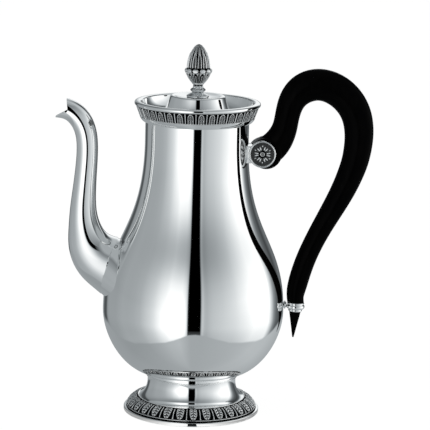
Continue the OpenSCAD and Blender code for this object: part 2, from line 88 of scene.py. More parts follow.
# ---- lid and finial ----
LID_TOP_Z, LID_TOP_R, LID_CROWN, LID_EDGE_Z, CROWN_Z = 223.8, 19.1, 1.2, 224.35, 223.1
FLANGE_R, FLANGE_T, SLEEVE_R = 36.4, 1.2, 34.4
FINIAL_FOOT_R, KNOP_Z, CUP_Z, CONE_Z = 7.85, 226.4, 231.3, 243.2
KNOP_R, KNOP_H, CUP_R, CUP_H, CONE_R, CONE_H = 5.3, 4.9, 9.5, 11.9, 8.15, 17.0
STEM_R = 3.3

# ---- ornament: points across one cell, cells around, angle of the first and depth in mm ----
PALMETTES = 36, 35, -95.97, 0.75
ROUNDS = 8, 32, -90, 0.1
LEAVES = 44, 29, -87.05, 0.85
FACETS = 12, 8, -67.5, 1.0
LOBES = 36, 11, -69.7, 1.2
SCALES = 36, 12, -83, 0.9


# ======== curves ========

def bend(a, b, c, d, n):
    """Points on a Bezier curve from a to d."""
    t = np.linspace(0, 1, n + 1)[:, None]
    s = 1 - t
    a, b, c, d = (np.array(p, float) for p in (a, b, c, d))
    return s ** 3 * a + 3 * s ** 2 * t * b + 3 * s * t ** 2 * c + t ** 3 * d


def arc(centre, radius, start, end, n=8):
    """Points on a circle, from one angle to another in degrees."""
    q = np.radians(np.linspace(start, end, n + 1))
    return np.array(centre, float) + radius * np.stack([np.cos(q), np.sin(q)], 1)


def chain(*parts):
    """One line of points from several, without doubles."""
    points = np.vstack([np.atleast_2d(np.array(p, float)) for p in parts])
    steps = np.linalg.norm(np.diff(points, axis=0), axis=1)
    return points[np.concatenate([[True], steps > 1e-4])]


def directions(points):
    """The direction of a line at each of its points, with length 1."""
    d = np.gradient(points, axis=0)
    return d / np.linalg.norm(d, axis=1)[:, None]


def offset(points, distance):
    """The same line moved to the left of its direction."""
    d = directions(points)
    return points + distance * np.stack([-d[:, 1], d[:, 0]], 1)


def through(stations, steps, smoothings):
    """A smooth path through stations, evened out so that reflections run without kinks."""
    s = np.array(stations, float)
    s = np.vstack([2 * s[0] - s[1], s, 2 * s[-1] - s[-2]])
    out = []
    for i in range(1, len(s) - 2):
        a, b, c, d = s[i - 1:i + 3]
        for t in np.arange(steps) / steps:
            out.append(0.5 * (2 * b + (c - a) * t + (2 * a - 5 * b + 4 * c - d) * t ** 2
                              + (3 * b - a - 3 * c + d) * t ** 3))
    out = np.array(out + [s[-2]])
    for _ in range(smoothings):
        out[1:-1] += 0.5 * ((out[:-2] + out[2:]) / 2 - out[1:-1])
    return out


# ======== mesh making ========

def placed(name, data):
    """A new object in the scene."""
    thing = bpy.data.objects.new(name, data)
    bpy.context.scene.collection.objects.link(thing)
    return thing


def shaded(mesh, sharp):
    """Smooth shading, with a crease wherever faces meet at more than the angle sharp."""
    mesh.shade_smooth()
    mesh.set_sharp_from_angle(angle=math.radians(sharp))


def outwards(mesh, sharp, weld=None):
    """Welds points that are closer than weld, and turns the faces of a closed mesh outwards."""
    shell = bmesh.new()
    shell.from_mesh(mesh)
    if weld:
        bmesh.ops.remove_doubles(shell, verts=shell.verts, dist=weld)
    bmesh.ops.recalc_face_normals(shell, faces=shell.faces)
    shell.to_mesh(mesh)
    shell.free()
    shaded(mesh, sharp)


def piece(name, points, faces, relief=None, sharp=32):
    """A mesh object from points in mm, closed, smooth, with its faces outwards."""
    mesh = bpy.data.meshes.new(name)
    mesh.from_pydata((np.asarray(points, float) * MM).tolist(), [], [list(f) for f in faces])
    if relief is not None:
        layer = mesh.attributes.new("relief", "FLOAT", "POINT")
        layer.data.foreach_set("value", np.asarray(relief, np.float32))
    outwards(mesh, sharp, weld=2e-7)
    return placed(name, mesh)


def lathe_faces(rows, columns, close_rows, close_columns):
    """Quads of a grid whose points are stored column after column."""
    faces = []
    for i in range(columns if close_columns else columns - 1):
        a, b = i * rows, ((i + 1) % columns) * rows
        for j in range(rows if close_rows else rows - 1):
            k = (j + 1) % rows
            faces.append((a + j, b + j, b + k, a + k))
    return faces


def around(q, r, z):
    """Points at the angles q around the Z axis, from their radius and height."""
    q = q[:, None]
    return np.stack([r * np.cos(q), r * np.sin(q), z + 0 * r * q], 2).reshape(-1, 3)


def turned(name, *profile, steps=192, sharp=32):
    """A piece turned about the pot's axis, from the parts of its profile (radius, height)."""
    p = chain(*profile)
    points = around(np.arange(steps) * 2 * math.pi / steps, *p.T)
    return piece(name, points, lathe_faces(len(p), steps, True, True), sharp=sharp)


def rings(path, sides, thinner=0.0):
    """Oval rings of points around a path in the XZ plane, with depth and width at each station."""
    d = directions(path[:, :2])
    q = np.arange(sides) * 2 * math.pi / sides
    u = np.outer(path[:, 2] - thinner, np.cos(q))
    w = np.outer(path[:, 3] - thinner, np.sin(q))
    return np.stack([path[:, :1] + u * d[:, 1:], w, path[:, 1:2] - u * d[:, :1]], 2)


def rod(name, path, sides=64):
    """A solid rod along a path, closed at both ends."""
    ring = rings(path, sides)
    n = len(path)
    points = np.vstack([ring.reshape(-1, 3), ring[0].mean(0), ring[-1].mean(0)])
    faces = lathe_faces(sides, n, True, False)
    for k in range(sides):
        m, last = (k + 1) % sides, (n - 1) * sides
        faces += [(n * sides, m, k), (n * sides + 1, last + k, last + m)]
    return piece(name, points, faces)


def pipe(name, path, wall, sides=96):
    """A hollow tube along a path, with flat ends."""
    loop = np.concatenate([rings(path, sides), rings(path, sides, wall)[::-1]])
    return piece(name, loop.reshape(-1, 3), lathe_faces(sides, len(loop), True, True))


def plate(name, outline, half):
    """A flat plate in the XZ plane, from its outline, half thickness to each side."""
    n = len(outline)
    points = [(x, -half, z) for x, z in outline] + [(x, half, z) for x, z in outline]
    faces = [tuple(range(n)), tuple(range(2 * n - 1, n - 1, -1))]
    faces += [(k, (k + 1) % n, n + (k + 1) % n, n + k) for k in range(n)]
    return piece(name, points, faces)


def plain(thing):
    """Makes the result of a piece's modifiers its own mesh."""
    evaluated = thing.evaluated_get(bpy.context.evaluated_depsgraph_get())
    mesh = bpy.data.meshes.new_from_object(evaluated)
    thing.modifiers.clear()
    old, thing.data = thing.data, mesh
    bpy.data.meshes.remove(old)
    mesh.name = thing.name


def cut(thing, *tools, how="DIFFERENCE", sharp=32):
    """Cuts the tools off thing, or joins them to it, and throws the tools away."""
    for tool in tools:
        step = thing.modifiers.new("cut", "BOOLEAN")
        step.operation, step.solver, step.object = how, "EXACT", tool
        plain(thing)
        bpy.data.objects.remove(tool)
    shaded(thing.data, sharp)
    return thing


def corners(thing):
    """The points of a piece's mesh, in metres."""
    co = np.empty(len(thing.data.vertices) * 3)
    thing.data.vertices.foreach_get("co", co)
    return co.reshape(-1, 3)


def with_corners(thing, points):
    """The same piece with its points moved."""
    thing.data.vertices.foreach_set("co", points.ravel())
    thing.data.update()
    return thing


def moved(thing, turn, to):
    """Turns a piece about the Y axis, in degrees, and moves it, in its mesh."""
    q = math.radians(turn)
    x, y, z = corners(thing).T
    x, z = x * math.cos(q) + z * math.sin(q), z * math.cos(q) - x * math.sin(q)
    return with_corners(thing, np.stack([x, y, z], 1) + np.array(to) * MM)


def turn_across(thing, to):
    """Lays a piece turned about Z along -Y, with its foot at the given place."""
    x, y, z = corners(thing).T
    return with_corners(thing, np.stack([x, -z, y], 1) + np.array(to) * MM)


# ======== node trees ========

VECTOR, NUMBER, COLOUR = "NodeSocketVector", "NodeSocketFloat", "NodeSocketColor"
COUNT, GEOMETRY, FINISH = "NodeSocketInt", "NodeSocketGeometry", "NodeSocketMaterial"


def group(name, inputs, outputs, kind="ShaderNodeTree"):
    """A shared node tree, what it is given, and the node that takes its results."""
    tree = bpy.data.node_groups.new(name, kind)
    for label, sort, *value in inputs:
        socket = tree.interface.new_socket(label, in_out="INPUT", socket_type=sort)
        if value:
            socket.default_value = value[0]
    for label, sort in outputs:
        tree.interface.new_socket(label, in_out="OUTPUT", socket_type=sort)
    return tree, tree.nodes.new("NodeGroupInput").outputs, tree.nodes.new("NodeGroupOutput")


def fill(tree, node, inputs):
    """Gives the inputs of a node their values, or links them to other nodes."""
    for label, value in inputs.items():
        if isinstance(value, bpy.types.NodeSocket):
            tree.links.new(value, node.inputs[label])
        else:
            node.inputs[label].default_value = value
    return node


def add(tree, kind, inputs):
    """A new node with its inputs filled."""
    return fill(tree, tree.nodes.new(kind), inputs)


def maths(tree, how, *values, clamp=False):
    node = tree.nodes.new("ShaderNodeMath")
    node.operation, node.use_clamp = how, clamp
    return fill(tree, node, dict(enumerate(values))).outputs[0]


def ranged(tree, value, low, high, to_low=0.0, to_high=1.0, how="LINEAR"):
    """A number from to_low to to_high, as the value goes from low to high."""
    node = add(tree, "ShaderNodeMapRange", {"Value": value, "From Min": low, "From Max": high,
                                            "To Min": to_low, "To Max": to_high})
    node.interpolation_type = how
    return node.outputs[0]


def noise(tree, vector, scale, detail):
    return add(tree, "ShaderNodeTexNoise",
               {"Vector": vector, "Scale": scale, "Detail": detail}).outputs["Fac"]


def mixed(tree, share, a, b):
    """Colour a, which turns into colour b as the share goes from 0 to 1."""
    mix = tree.nodes.new("ShaderNodeMix")
    mix.data_type = "RGBA"
    return fill(tree, mix, {"Factor": share, "A": a, "B": b}).outputs["Result"]


# ---- what repeats around an axis ----

def copies_tree():
    """A node tree that sets copies of one cell around the Z axis and joins their seams."""
    tree, given, end = group(
        "copies around axis",
        [("Cell", GEOMETRY), ("Copies", COUNT), ("Start Angle", NUMBER), ("Finish", FINISH)],
        [("Ring", GEOMETRY)], "GeometryNodeTree")
    step = maths(tree, "DIVIDE", 2 * math.pi, given["Copies"])
    index = tree.nodes.new("GeometryNodeInputIndex").outputs[0]
    angle = maths(tree, "MULTIPLY_ADD", index, step, given["Start Angle"])
    turn = add(tree, "ShaderNodeCombineXYZ", {"Z": angle})
    points = add(tree, "GeometryNodePoints", {"Count": given["Copies"]})
    place = add(tree, "GeometryNodeInstanceOnPoints", {
        "Points": points.outputs[0], "Instance": given["Cell"], "Rotation": turn.outputs[0]})
    real = add(tree, "GeometryNodeRealizeInstances", {0: place.outputs[0]})
    weld = add(tree, "GeometryNodeMergeByDistance", {0: real.outputs[0], "Distance": 4e-6})
    paint = add(tree, "GeometryNodeSetMaterial",
                {"Geometry": weld.outputs[0], "Material": given["Finish"]})
    fill(tree, end, {0: paint.outputs[0]})
    return tree


COPIES = copies_tree()


def relief_cell(name, front, back, height, columns, copies, depth):
    """One cell of a chased band. front is its face and back the line behind it, both as radius
    and height; height(u, v) is 1 on the face and 0 on the ground, with u from -1 to 1 across
    the cell and v from 0 to 1 along front."""
    front, back = np.array(front, float), np.array(back, float)
    steps = np.linalg.norm(np.diff(front, axis=0), axis=1)
    v = np.concatenate([[0], np.cumsum(steps)]) / steps.sum()
    d = directions(front)
    out = np.stack([d[:, 1], -d[:, 0]], 1)
    u = np.linspace(-1, 1, columns + 1)
    grid_u, grid_v = np.meshgrid(u, v, indexing="ij")
    h = np.clip(height(grid_u, grid_v), 0, 1)
    r = front[:, 0] + out[:, 0] * (h - 1) * depth
    z = front[:, 1] + out[:, 1] * (h - 1) * depth
    r = np.maximum(np.hstack([r, np.tile(back[:, 0], (len(u), 1))]), 0)
    z = np.hstack([z, np.tile(back[:, 1], (len(u), 1))])
    points = around(u * math.pi / copies, r, z)
    relief = np.hstack([h, np.zeros((len(u), len(back)))]).ravel()
    return piece(name, points, lathe_faces(r.shape[1], len(u), True, False), relief=relief)


def band(name, front, back, height, finish, columns, copies, start, depth, sharp=180):
    """A chased band around the Z axis: copies of one cell, as one plain mesh."""
    cell = relief_cell(name, front, back, height, columns, copies, depth)
    step = cell.modifiers.new("copies", "NODES")
    step.node_group = COPIES
    names = {s.name: s.identifier for s in COPIES.interface.items_tree if s.in_out == "INPUT"}
    step[names["Copies"]], step[names["Start Angle"]] = copies, math.radians(start)
    step[names["Finish"]] = finish
    plain(cell)
    outwards(cell.data, sharp)
    return cell


def ridge(distance, width):
    """1 on a line and 0 at width from it, rounded."""
    return np.clip(1 - (distance / width) ** 2, 0, 1)


def swell(edge, width):
    """0 outside an outline and 1 inside it, rising over width."""
    t = np.clip(edge / width, 0, 1)
    return t * t * (3 - 2 * t)


def taper(t, start):
    """The width of a leaf along its length t: full up to start, and a point at 1."""
    return np.sqrt(np.clip(1 - np.clip((t - start) / (1 - start), 0, 1) ** 2.2, 0, 1))


# ======== materials ========

def polish_marks():
    """Fine marks of polishing and handling: a roughness and a height."""
    tree, given, end = group(
        "polish marks", [("Vector", VECTOR), ("Smooth", NUMBER, 0.03), ("Dull", NUMBER, 0.06)],
        [("Roughness", NUMBER), ("Height", NUMBER)])
    cloud = noise(tree, given["Vector"], scale=24, detail=5)
    fine = noise(tree, given["Vector"], scale=900, detail=3)
    handled = maths(tree, "MULTIPLY_ADD", fine, 0.35, cloud)
    rough = ranged(tree, handled, 0.5, 0.85, given["Smooth"], given["Dull"])
    fill(tree, end, {"Roughness": rough, "Height": fine})
    return tree


def chasing():
    """Chased silver: a dark ground in the hollows, bright metal where it stands proud."""
    tree, given, end = group(
        "chased relief",
        [("Vector", VECTOR), ("Relief", NUMBER, 0.5), ("Bright", COLOUR, (0.9, 0.9, 0.9, 1)),
         ("Ground", COLOUR, (0.02, 0.02, 0.02, 1)), ("Grain", NUMBER, 1400.0),
         ("Uneven", NUMBER, 0.4), ("Gloss", NUMBER, 0.16)],
        [("Color", COLOUR), ("Roughness", NUMBER), ("Height", NUMBER)])
    grain = noise(tree, given["Vector"], given["Grain"], detail=2)
    shift = maths(tree, "MULTIPLY", maths(tree, "SUBTRACT", grain, 0.5), given["Uneven"])
    level = maths(tree, "ADD", given["Relief"], shift)
    worn = ranged(tree, level, 0.22, 0.75, how="SMOOTHSTEP")
    fill(tree, end, {"Color": mixed(tree, worn, given["Ground"], given["Bright"]),
                     "Roughness": ranged(tree, worn, 0, 1, 0.55, given["Gloss"]),
                     "Height": grain})
    return tree


def wood_grain():
    """Close, straight grain under a polish: a colour mask and a height."""
    tree, given, end = group(
        "close wood grain", [("Vector", VECTOR)], [("Mask", NUMBER), ("Height", NUMBER)])
    stretch = add(tree, "ShaderNodeMapping", {"Vector": given["Vector"], "Scale": (260, 900, 60)})
    fibre = noise(tree, stretch.outputs[0], scale=1.0, detail=4)
    fill(tree, end, {"Mask": ranged(tree, fibre, 0.4, 0.75), "Height": fibre})
    return tree


MARKS, CHASING, GRAIN = polish_marks(), chasing(), wood_grain()


def new_material(name):
    material = bpy.data.materials.new(name)
    material.use_nodes = True
    tree = material.node_tree
    return material, tree, tree.nodes["Principled BSDF"]


def effect(tree, source, **values):
    """What a shared node tree gives on a piece's own coordinates."""
    holder = tree.nodes.new("ShaderNodeGroup")
    holder.node_tree = source
    place = tree.nodes.new("ShaderNodeTexCoord").outputs["Object"]
    return fill(tree, holder, {"Vector": place, **values}).outputs


def bump(tree, height, strength, distance):
    return add(tree, "ShaderNodeBump", {"Height": height, "Strength": strength,
                                        "Distance": distance}).outputs[0]


def polished(name, colour, smooth, dull):
    material, tree, shader = new_material(name)
    marks = effect(tree, MARKS, Smooth=smooth, Dull=dull)
    fill(tree, shader, {"Metallic": 1, "Base Color": (*colour, 1), "Roughness": marks["Roughness"],
                        "Normal": bump(tree, marks["Height"], 0.05, 0.02 * MM)})
    return material


def chased(name, grain, uneven, rise, gloss):
    material, tree, shader = new_material(name)
    relief = tree.nodes.new("ShaderNodeAttribute")
    relief.attribute_name = "relief"
    work = effect(tree, CHASING, Relief=relief.outputs["Fac"], Bright=(0.93, 0.94, 0.94, 1),
                  Ground=(0.003, 0.0035, 0.004, 1), Grain=grain, Uneven=uneven, Gloss=gloss)
    fill(tree, shader, {"Metallic": 1, "Base Color": work["Color"], "Roughness": work["Roughness"]})
    if rise:
        fill(tree, shader, {"Normal": bump(tree, work["Height"], rise, 0.12 * MM)})
    return material


def ebonised():
    material, tree, shader = new_material("ebony, oiled and polished")
    grain = effect(tree, GRAIN)
    colour = mixed(tree, grain["Mask"], (0.0006, 0.0006, 0.0007, 1), (0.0013, 0.0012, 0.0012, 1))
    fill(tree, shader, {"Base Color": colour, "Roughness": 0.2, "Specular IOR Level": 0.012,
                        "Normal": bump(tree, grain["Height"], 0.04, 0.03 * MM)})
    return material


SILVER = polished("polished silver", (0.955, 0.96, 0.958), smooth=0.012, dull=0.035)
INNER = polished("silver inside", (0.93, 0.935, 0.93), smooth=0.05, dull=0.11)
# The finial's foot and knop have a softer polish, and a base colour darker than the polished silver.
# The darker colour is painted shade.
SOFT_SHADED_SILVER = polished("silver, softly polished, darkened as painted shade", (0.82, 0.835, 0.84), smooth=0.16, dull=0.26)
CHASED = chased("chased silver, dark ground", grain=1400.0, uneven=0.4, rise=0.35, gloss=0.16)
BUD_SILVER = chased("bud silver", grain=900.0, uneven=0.0, rise=0.0, gloss=0.34)
ROSETTE_SILVER = chased("rosette silver", grain=1400.0, uneven=0.1, rise=0.1, gloss=0.2)
EBONY = ebonised()


def dress(thing, material):
    thing.data.materials.clear()
    thing.data.materials.append(material)


# ======== body ========

belly = chain(
    bend([BELLY_BASE_R, FOOT_H], [BELLY_BASE_R + 16.3, FOOT_H + 0.6], [BELLY_R, BELLY_Z - 20.6],
         [BELLY_R, BELLY_Z], 48),
    bend([BELLY_R, BELLY_Z], [BELLY_R, BELLY_Z + 50.7], [NECK_R, NECK_Z - 66.8],
         [NECK_R, NECK_Z], 72))


# The line behind the collar band, from its foot to its top.
collar_back = [[COLLAR_LOW_R - COLLAR_T, COLLAR_Z], [COLLAR_TOP_R - COLLAR_T, RIM_WIRE_Z]]


def body_shell():
    """One smooth skin for bowl, shoulder and neck, with the spout's opening in its wall."""
    lip = [[NECK_R, NECK_TOP_Z], *collar_back, [MOUTH_R + 0.3, RIM_WIRE_Z],
           [SEAT_R + 0.25, SEAT_Z + 0.5], [SEAT_R, SEAT_Z], [BORE_R + 0.2, SEAT_Z],
           [BORE_R, SEAT_Z - 0.2]]
    shell = turned("body_raised", [0, FOOT_H], belly, lip, offset(belly, WALL)[::-1],
                   [0, FOOT_H + WALL], steps=256)
    hole = turned("hole", [[0, -5], [SPOUT_HOLE_R, -5], [SPOUT_HOLE_R, 40], [0, 40]], steps=64)
    return cut(shell, moved(hole, -90, (-BELLY_R / 2, 0, SPOUT_ROOT_Z + 1)))


def neck_moulding():
    hollow = bend([NECK_R + 0.3, NECK_TOP_Z], [NECK_R + 1.6, NECK_TOP_Z + 0.2],
                  [COLLAR_LOW_R - 0.7, COLLAR_Z - 2.4], [COLLAR_LOW_R, COLLAR_Z], 20)
    return turned("collar_moulding", collar_back[0], [NECK_R, NECK_TOP_Z], hollow)


def rim_wire():
    oval = arc([0, 0], 1, 0, 352.5, 47)
    half = np.array([(RIM_R - MOUTH_R) / 2, (RIM_Z - RIM_WIRE_Z) / 2])
    oval = np.sign(oval) * np.abs(oval) ** 0.8
    return turned("rim_rolled", [MOUTH_R, RIM_WIRE_Z] + half + oval * half, steps=256)


def palmette(u, v):
    """A round-headed arch with a palmette in it, between upright bars."""
    bars = ridge(1 - np.abs(u), 0.12)
    half = 0.57 - 0.06 * v
    inside = 1 - np.sqrt((u / half) ** 2 + (np.clip(v - 0.58, 0, None) / 0.37) ** 2)
    outline = ridge(inside - 0.13, 0.16) * (inside > -0.03) * (0.86 + 0.14 * np.cos(v * 75))
    fan = np.arctan2(u * 1.2, v + 0.1)
    reach = np.hypot(u * 1.2, v + 0.1)
    lobes = 0.5 + 0.5 * np.cos(fan * 15)
    beads = 0.5 + 0.5 * np.cos(reach * 30 + 2.2 * np.cos(fan * 15))
    stem = ridge(u, 0.08) * (v < 0.72)
    fronds = np.maximum(0.16 + 0.52 * lobes * (0.3 + 0.7 * beads), 0.72 * stem)
    edge = ridge(v, 0.04) * 0.8
    return np.maximum.reduce([bars * (v < 0.97), 0.9 * outline,
                              fronds * swell(inside - 0.22, 0.08), edge])


def rim_frieze():
    front = bend([COLLAR_LOW_R, COLLAR_Z], [COLLAR_LOW_R + 1.0, COLLAR_Z + 2.5],
                 [COLLAR_TOP_R - 0.9, RIM_WIRE_Z - 2.5], [COLLAR_TOP_R, RIM_WIRE_Z], 34)
    return band("collar_palmettes", front, collar_back[::-1], palmette, CHASED, *PALMETTES)


# ======== foot ========

slope = LEAF_LOW - LEAF_TOP
slope_in = np.array([slope[1], -slope[0]]) / np.linalg.norm(slope)
leaf_back = LEAF_TOP + LEAF_T * slope_in
skin_back = leaf_back + WALL * slope_in


def at_step(point):
    """Where a line through the point, along the leaves' slope, meets the base ring."""
    return [point[0] + slope[0] * (BASE_STEP_Z - point[1]) / slope[1], BASE_STEP_Z]


def foot_shell():
    r, z = FOOT_LINE_R, FOOT_LINE_Z
    top = [[BELLY_BASE_R - WALL, FOOT_H], [BELLY_BASE_R, FOOT_H], [BELLY_BASE_R + 0.2, z + 0.6]]
    line = arc([r - 0.35, z - 0.02], 0.35, 70, -70, 6)
    sweep = bend([r - 0.9, z - 0.5], [r - 2, z - 5.4], [r - 0.9, FOOT_SWEEP_Z - 1.4],
                 LEAF_TOP + [-0.8, 0.3], 40)
    hem = [leaf_back, at_step(leaf_back), at_step(skin_back), skin_back]
    # The inner side stops short of the hem, so that the two don't cross.
    return turned("foot_spun", top, line, sweep, hem, offset(sweep, -WALL)[:-8][::-1])


def foot_moulding():
    """A small round moulding above the leaves, a little fuller at its top."""
    front = arc(LEAF_TOP + [-0.5, 0.3], 0.45, 130, -50, 14)
    back = [leaf_back + [0.3, 0.3], LEAF_TOP + [-1, 0.1]]
    return band("foot_moulding_round", front[::-1], back[::-1],
                lambda u, v: swell(v - 0.42, 0.1), SILVER, *ROUNDS, sharp=40)


def leaf(u, v):
    """A veined leaf that hangs down the slope, with a dart between it and the next."""
    t = np.clip((v - 0.05) / 0.84, 0, 1)
    half = 0.6 * taper(t, 0.3) - 0.03 * (1 - t)
    inside = np.where((v > 0.05) & (v < 0.89), half - np.abs(u), -1)
    outline = ridge(inside - 0.07, 0.08) * (0.88 + 0.12 * np.cos(v * 40))
    vein = ridge(u, 0.05)
    ribs = swell(0.5 + 0.5 * np.cos((v * 5.4 - np.abs(u) * 1.5) * 2 * math.pi), 0.9)
    body = (0.12 + 0.68 * ribs) * swell(inside - 0.12, 0.05) * (np.abs(u) > 0.06)
    dart = ridge(1 - np.abs(u), 0.075 + 0.03 * v) * swell(v - 0.07, 0.03) * swell(0.9 - v, 0.03)
    drop = ridge(np.hypot((1 - np.abs(u)) / 0.13, (v - 0.86) / 0.05), 1.0)
    bead = ridge(v - 0.945, 0.036)
    return np.maximum.reduce([0.97 * outline, body, vein * 0.66 * (inside > 0.1), 0.92 * dart,
                              0.95 * drop, 0.9 * bead])


def foot_frieze():
    front = bend(LEAF_TOP, LEAF_TOP + [1.9, 1.25], LEAF_LOW + [0, 2 * LEAF_SWELL], LEAF_LOW, 52)
    back = [[LEAF_LOW[0], BASE_STEP_Z], at_step(leaf_back), leaf_back]
    return band("foot_leaves", front[::-1], back[::-1],
                lambda u, v: leaf(u, 1 - v), CHASED, *LEAVES)


def base_ring():
    inner, outer = at_step(skin_back)[0] - 1, BASE_R - BASE_EDGE
    lip = [[LEAF_LOW[0], BASE_LIP_Z - 0.95], [LEAF_LOW[0], BASE_STEP_Z], [inner, BASE_STEP_Z]]
    return turned("base_plinth", [[inner, 0], [outer, 0]],
                  arc([outer, BASE_EDGE], BASE_EDGE, -90, 0, 6),
                  arc([outer, 2.1], BASE_EDGE, 0, 85, 8), lip, steps=256)


# ======== spout ========

def pour(r, side, stations):
    """Stations of the spout: (share of its reach, share of its rise, what it adds to the half
    depth r, and to the half width side)."""
    return [[-BELLY_R - out * SPOUT_REACH, SPOUT_ROOT_Z + up * SPOUT_RISE, r + dr, side + ds]
            for out, up, dr, ds in stations]


SPOUT_STATIONS = pour(SPOUT_ROOT_R, SPOUT_ROOT_R * 1.15, [
    (-1.15, -0.058, 1.2, 4), (-0.42, -0.002, 0.1, 0), (0.23, 0.045, -1.2, -4)])
SPOUT_STATIONS += pour(SPOUT_R, SPOUT_R, [
    (0.69, 0.11, 8.6, 8), (0.93, 0.174, 5.95, 5.8), (1.07, 0.249, 3.5, 3.6),
    (1.14, 0.33, 1.95, 2.2), (1.13, 0.415, 1.05, 0.9), (1.08, 0.5, 0.45, 0.4),
    (1.025, 0.59, 0.05, 0), (0.97, 0.68, -0.15, -0.2), (0.96, 0.77, -0.2, -0.3),
    (1.035, 0.845, -0.15, -0.3), (1.27, 0.917, 0, -0.3), (1.69, 0.973, -0.1, -0.4),
    (2.21, 0.998, -0.45, -0.7), (2.85, 1.01, 0.4, -0.9)])

# The line where the raised spout meets its collar, from above it to below it.
SEAM = np.array([[-44.0, 130.0], [-53.3, 122.6], [-56.8, 117.3], [-59.4, 111.8], [-60.9, 105.2],
                 [-62.6, 98.4], [-64.3, 87.2], [-65.8, 76.0]])
COLLAR_ROWS, COLLAR_X, COLLAR_FLARE = 45, -62, 0.5


def spout():
    path = through(SPOUT_STATIONS, 10, 40)
    tube = pipe("spout_tube", path, SPOUT_WALL)
    # The mouth is cut level and falls to the pouring lip.
    mouth = np.array([-BELLY_R - 2.02 * SPOUT_REACH, SPOUT_ROOT_Z + SPOUT_RISE])
    lip = np.array([-BELLY_R - 2.67 * SPOUT_REACH, mouth[1] - 6.1])
    edge = [mouth + p for p in ([-0.9, 12], [-0.9, 6], [-0.1, 0.7], [0, -1.3], [-0.4, -2.2])]
    edge += [lip, lip + [0, -4], lip + [-12, -4], lip + [-12, 20]]
    mouth_cut = plate("mouth cut", edge, 2 * SPOUT_R)
    beyond = plate("beyond seam", list(SEAM) + [[-20, 76], [-20, 130]], 30)
    cut(tube, mouth_cut, beyond, sharp=38)
    # The collar starts inside the tube and grows wider towards the belly.
    root = path[:COLLAR_ROWS] - [0, 0, 0.5, 1.0]
    root[:, 3] += COLLAR_FLARE * np.clip(root[:, 0] - COLLAR_X, 0, None)
    collar = pipe("collar", root, SPOUT_WALL)
    before = plate("before seam", list(SEAM + [-0.4, 0]) + [[-110, 76], [-110, 130]], 40)
    body = turned("body mass", [0, FOOT_H], belly, [[NECK_R, RIM_Z], [0, RIM_Z]], steps=256)
    cut(collar, before, body, sharp=38)
    return cut(tube, collar, how="UNION", sharp=38)


# ======== handle ========

def section(k, side_k):
    """Half depth and half width, as shares of the way from the grip's low end to its top."""
    return [HANDLE_LOW_R + (HANDLE_R - HANDLE_LOW_R) * k,
            HANDLE_LOW_SIDE + (HANDLE_SIDE - HANDLE_LOW_SIDE) * side_k]


SHOULDER_Z = FERRULE_Z + FERRULE_H / 2


def grip(t, out, k, side_k):
    """A station beside the line from the ring to the scroll."""
    return [FERRULE_X + (SCROLL_X - FERRULE_X) * t + out * HANDLE_REACH,
            SHOULDER_Z + (SCROLL_Z - SHOULDER_Z) * t] + section(k, side_k)


def hook(dx, up, k, side_k):
    """A station of the bend above the scroll."""
    return [SCROLL_X + dx * HANDLE_REACH, SCROLL_Z + up * HANDLE_RISE] + section(k, side_k)


HANDLE_STATIONS = [grip(*s) for s in (
    (-0.01, 0, -0.3, -0.18), (0.04, 0.012, -0.25, -0.1), (0.11, 0.072, 0, 0),
    (0.28, 0.265, 0, 0.07), (0.46, 0.54, 0.03, 0.18), (0.62, 0.82, 0.2, 0.28),
    (0.77, 1.075, 0.4, 0.43), (0.91, 1.27, 0.55, 0.57))]
HANDLE_STATIONS += [hook(*s) for s in (
    (1.367, 0, 0.63, 0.68), (1.398, 0.3, 0.75, 0.79), (1.332, 0.62, 0.87, 0.9),
    (1.11, 0.88, 0.99, 1), (0.8, 1, 0.98, 1), (0.53, 0.935, 0.94, 0.93),
    (0.365, 0.76, 0.58, 0.75), (0.3, 0.53, 0.37, 0.57), (0.265, 0.33, 0.44, 0.5),
    (0.155, 0.13, 0.78, 0.5))]
HANDLE_STATIONS += [[SCROLL_X, SCROLL_Z, SCROLL_R * 0.98, SCROLL_T * 0.48]]


def lean(thing):
    return moved(thing, TIP_LEAN, (FERRULE_X, 0, FERRULE_Z))


def handle():
    wood = rod("handle_wood", through(HANDLE_STATIONS, 10, 30))
    half, edge, ring = SCROLL_T / 2, 2, FERRULE_H / 2
    scroll = turned("scroll", [0, -half], arc([SCROLL_R - edge, edge - half], edge, -90, 0),
                    arc([SCROLL_R - edge, half - edge], edge, 0, 90), [0, half], steps=96)
    turn_across(scroll, (SCROLL_X, 0, SCROLL_Z))
    tip = turned("tip", [0, -ring - TIP_L], arc([0, 0.62 - ring - TIP_L], 0.6, -80, -10, 5),
                 [[TENON_R, -ring], [TENON_R, ring + 2], [0, ring + 2]], steps=64)
    below = lean(turned("below", [[0, -30], [2 * FERRULE_R, -30], [2 * FERRULE_R, ring],
                                  [0, ring]], steps=48))
    cut(wood, below)
    cut(wood, scroll, lean(tip), how="UNION", sharp=30)
    return wood


def handle_bracket():
    """The tongue on the neck, with a root as wide as the scroll, and with softened edges."""
    low, high, soft = PIN_Z - TONGUE_H / 2, PIN_Z + TONGUE_H / 2, 0.7
    root, edge, thin, points = NECK_R - WALL / 2, SCROLL_X - SCROLL_R, TONGUE_T / 2, []
    # Four outlines from the neck outwards: x and half width. The first one lies on the neck.
    for x, half in ((None, 8.3), (edge + 0.8, 7.4), (edge + 1, thin), (PIN_X + 5, thin)):
        for y, z, start in ((half, high, 0), (-half, high, 90), (-half, low, 180), (half, low, 270)):
            centre = y - math.copysign(soft, y), z - math.copysign(soft, z - PIN_Z)
            for across, up in arc(centre, soft, start, start + 90, 6):
                along = math.sqrt(root ** 2 - across ** 2) if x is None else x
                points.append((along, across, up))
    n = len(points) // 4
    return piece("handle_tongue", points, lathe_faces(n, 4, True, False)
                 + [tuple(range(n)), tuple(range(3 * n, 4 * n))])


